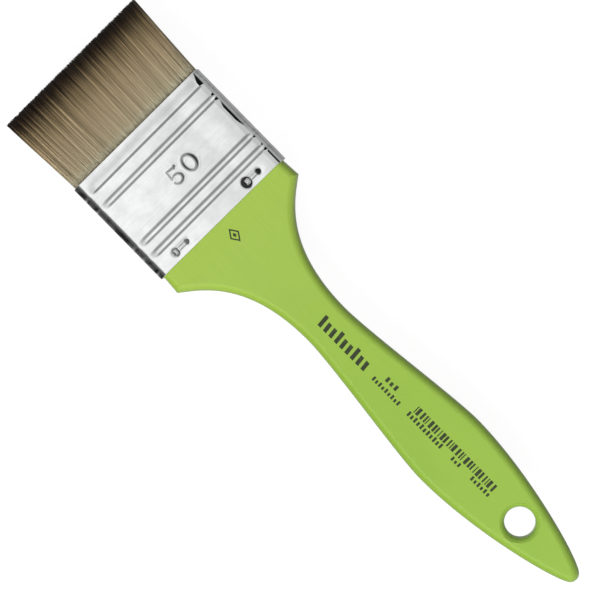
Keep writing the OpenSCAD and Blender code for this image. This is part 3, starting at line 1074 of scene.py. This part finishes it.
def build_floor():
    """Pale floor, seen a little brighter by the camera than by the rest of the scene."""
    s = Shader("pale_floor")
    fine = s.noise((400, 400, 400), detail=2)
    s.set(base_color=s.mix(fine, colour(110, 110, 110), colour(115, 115, 115)), roughness=0.9,
          specular_ior_level=0.1, normal=s.bump(fine, 0.01, 0.2),
          emission_color=(1, 1, 1, 1),
          emission_strength=s.math("MULTIPLY", s.add("LightPath").outputs["Is Camera Ray"], FLOOR_GLOW))
    half = 1500.0
    corners = [(x * half, y * half, FLOOR_Z) for x, y in ((-1, -1), (1, -1), (1, 1), (-1, 1))]
    floor = make_piece("floor", corners, [(0, 1, 2, 3)], s.material, body=None)
    floor.visible_glossy = False


def build_world():
    """Even pale light for everything but reflections, which see the softboxes and dark sides of a studio."""
    world = bpy.data.worlds.new("studio")
    bpy.context.scene.world = world
    world.use_nodes = True
    world.node_tree.nodes.clear()
    n = Nodes(world.node_tree)

    def grey_ramp(degrees, stops):
        return n.ramp(degrees, [((angle + 180) / 360, (level, level, level, 1)) for angle, level in stops])

    # -180 to 180 degrees as 0 to 1
    way = n.add("SeparateXYZ", {"Vector": n.add("TexCoord").outputs["Generated"]}).outputs
    sideways = n.span(n.math("ARCTAN2", way["X"], way["Z"]), -math.pi, math.pi)
    lengthways = n.span(n.math("ARCSINE", way["Y"]), -math.pi, math.pi)
    studio = n.math("MULTIPLY", grey_ramp(sideways, ACROSS_REFLECTIONS), grey_ramp(lengthways, ALONG_REFLECTIONS))
    corner = n.math("MULTIPLY", grey_ramp(sideways, ACROSS_ROOM), grey_ramp(lengthways, ALONG_ROOM))
    mirrored = n.span(corner, 0.0, 1.0, studio, ROOM)
    even = n.add("Background", {"Color": (1, 1, 1, 1), "Strength": WORLD_LIGHT})
    seen = n.add("Background", {"Color": (0.93, 0.93, 0.93, 1), "Strength": 1.0})
    reflected = n.add("Background", {"Color": mirrored, "Strength": REFLECTION_STRENGTH})
    path = n.add("LightPath").outputs
    lit = n.add("MixShader", {0: path["Is Glossy Ray"], 1: even.outputs[0], 2: reflected.outputs[0]})
    final = n.add("MixShader", {0: path["Is Camera Ray"], 1: lit.outputs[0], 2: seen.outputs[0]})
    n.add("OutputWorld", {"Surface": final.outputs[0]})


def area_light(name, place, target, size, power):
    """Soft square light that lights surfaces but isn't mirrored in them; the world's softboxes are."""
    light = bpy.data.lights.new(name, "AREA")
    light.size = size
    light.energy = power
    lamp = bpy.data.objects.new(name, light)
    bpy.context.collection.objects.link(lamp)
    lamp.location = place
    lamp.rotation_euler = (Vector(target) - Vector(place)).to_track_quat("-Z", "Y").to_euler()
    lamp.visible_glossy = False
    lamp.visible_camera = False


def build_lights():
    centre = (0, -0.05, 0)
    area_light("key", (-0.55, -0.3, 0.8), centre, 0.7, 7.5)
    area_light("top", (0.05, -0.05, 1.0), centre, 0.9, 2.5)


def build_camera():
    """Almost straight above the front, moved a little towards the lap seam and rolled."""
    target = Vector(CAMERA_TARGET) * MM
    tilt = math.radians(CAMERA_TILT)
    roll = math.radians(CAMERA_ROLL)
    back = Vector((math.sin(tilt), 0, math.cos(tilt)))
    across = Vector((math.cos(tilt), 0, -math.sin(tilt)))
    along = Vector((0, 1, 0))
    right = across * math.cos(roll) - along * math.sin(roll)
    up = across * math.sin(roll) + along * math.cos(roll)
    data = bpy.data.cameras.new("camera")
    data.sensor_width = 36
    data.lens = data.sensor_width * CAMERA_DISTANCE / FRAME_W
    data.clip_start = 0.01
    camera = bpy.data.objects.new("camera", data)
    bpy.context.collection.objects.link(camera)
    turn = Matrix((right, up, back)).transposed()
    camera.matrix_world = Matrix.Translation(target + back * CAMERA_DISTANCE * MM) @ turn.to_4x4()
    bpy.context.scene.camera = camera


# ---------------------------------------------------------------- the scene

build_handle(lacquer())
build_prints(ink())
build_ferrule(tinplate())
build_nails(nail_wire())
build_tuft(filament())
epoxy = frame["nodes"]["epoxy_set"]
epoxy.data.materials.clear()
epoxy.data.materials.append(resin())
build_floor()
build_world()
build_lights()
build_camera()
bpy.context.scene.view_settings.view_transform = "Standard"
